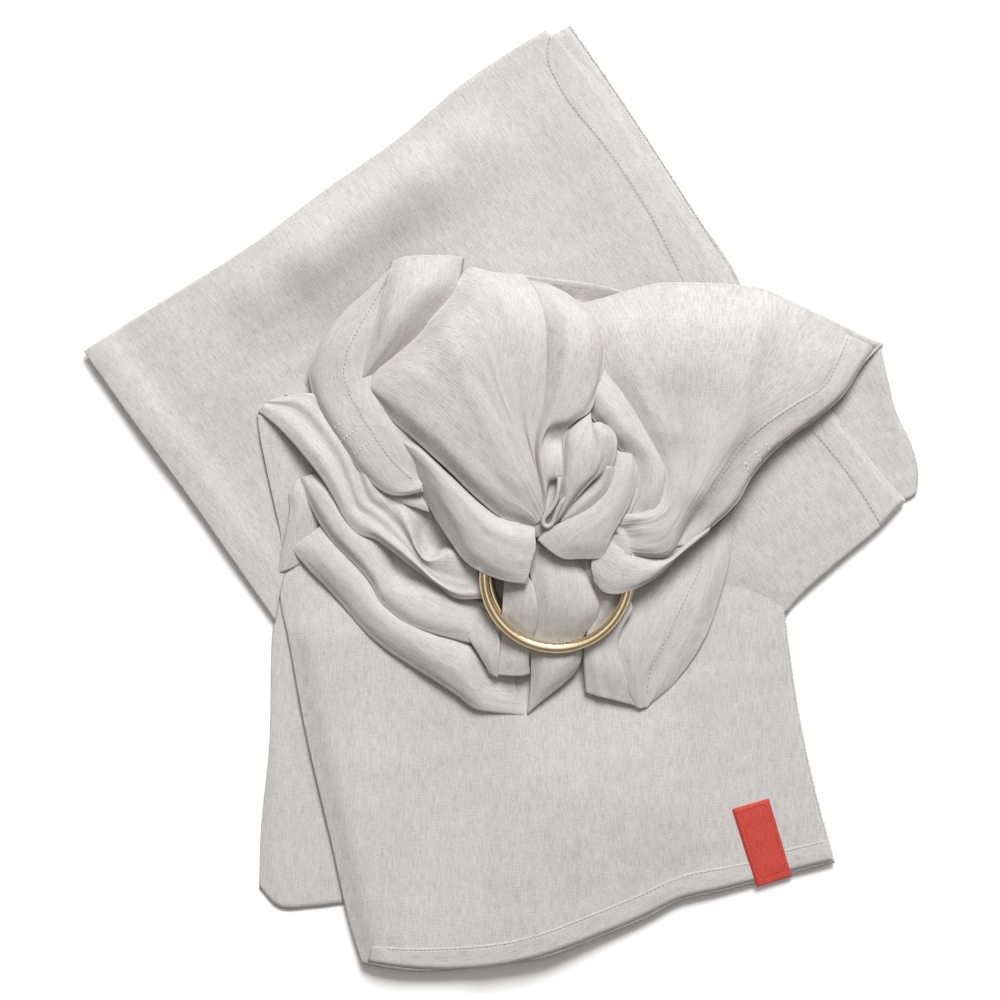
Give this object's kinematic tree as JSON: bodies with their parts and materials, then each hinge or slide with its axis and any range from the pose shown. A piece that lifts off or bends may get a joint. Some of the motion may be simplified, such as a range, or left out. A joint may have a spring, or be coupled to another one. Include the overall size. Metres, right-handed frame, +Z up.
{
  "type": "baby carrier ring sling",
  "caption": "Soft linen ring sling laid flat: a pleated shoulder sewn round two metal rings, a pouch and a threaded tail.",
  "frame": {"origin": "on the table under the bundle, near the middle of its plan", "axes": "+X to the wide side panel, +Y from the tail's end to the body panel's far corner, +Z up off the table"},
  "size_m": [0.478, 0.543, 0.044],
  "materials": {
    "linen": "woven slub linen, matt",
    "ring_metal": "pale gold, satin",
    "label_weave": "red woven label",
    "thread": "matt sewing thread"
  },
  "bodies": {
    "root": {"body_panel_lower": "linen", "body_panel_upper": "linen", "side_panel_lower": "linen", "side_panel_upper": "linen", "body_hem": "linen", "side_hem": "linen", "body_hem_thread": "thread", "side_hem_thread": "thread", "shoulder_main_pleat": "linen", "shoulder_ridge_pleat": "linen", "shoulder_outer_pleat": "linen", "shoulder_left_facing": "linen", "shoulder_hem_left": "linen", "shoulder_scroll_fold": "linen", "shoulder_tongue_fold": "linen", "shoulder_right_pleat": "linen", "shoulder_right_panel": "linen", "shoulder_hem_right": "linen", "pouch_fold_upper": "linen", "pouch_fold_middle": "linen", "pouch_fold_lower": "linen", "back_hem_fold": "linen", "shoulder_seam_bars": "thread", "ring_pleat_left": "linen", "ring_pleat_centre": "linen", "ring_pleat_right": "linen"},
    "front_ring": {"front_ring": "ring_metal", "wrap_left": "linen", "wrap_centre": "linen", "wrap_right": "linen"},
    "rear_ring": {"rear_ring": "ring_metal", "tail_bight": "linen"},
    "tail": {"tail_panel_lower": "linen", "tail_panel_upper": "linen", "tail_hem": "linen", "tail_hem_thread": "thread", "woven_label": "label_weave", "label_thread": "thread"}
  },
  "joints": [
    {"name": "front_ring_tilt", "type": "hinge", "parent": "root", "child": "front_ring", "pos_m": [0.0308, -0.00146, 0.02457], "axis": [-1, 0, 0], "range_deg": [0, 25]},
    {"name": "rear_ring_tilt", "type": "hinge", "parent": "root", "child": "rear_ring", "pos_m": [0.0333, 0.00084, 0.01507], "axis": [-1, 0, 0], "range_deg": [0, 10]},
    {"name": "tail_slide", "type": "slide", "parent": "root", "child": "tail", "axis": [0, -1, 0], "range_m": [0, 0.03]}
  ],
  "couplings": [
    {"joint": "rear_ring_tilt", "follows": "front_ring_tilt", "ratio": 0.4}
  ]
}
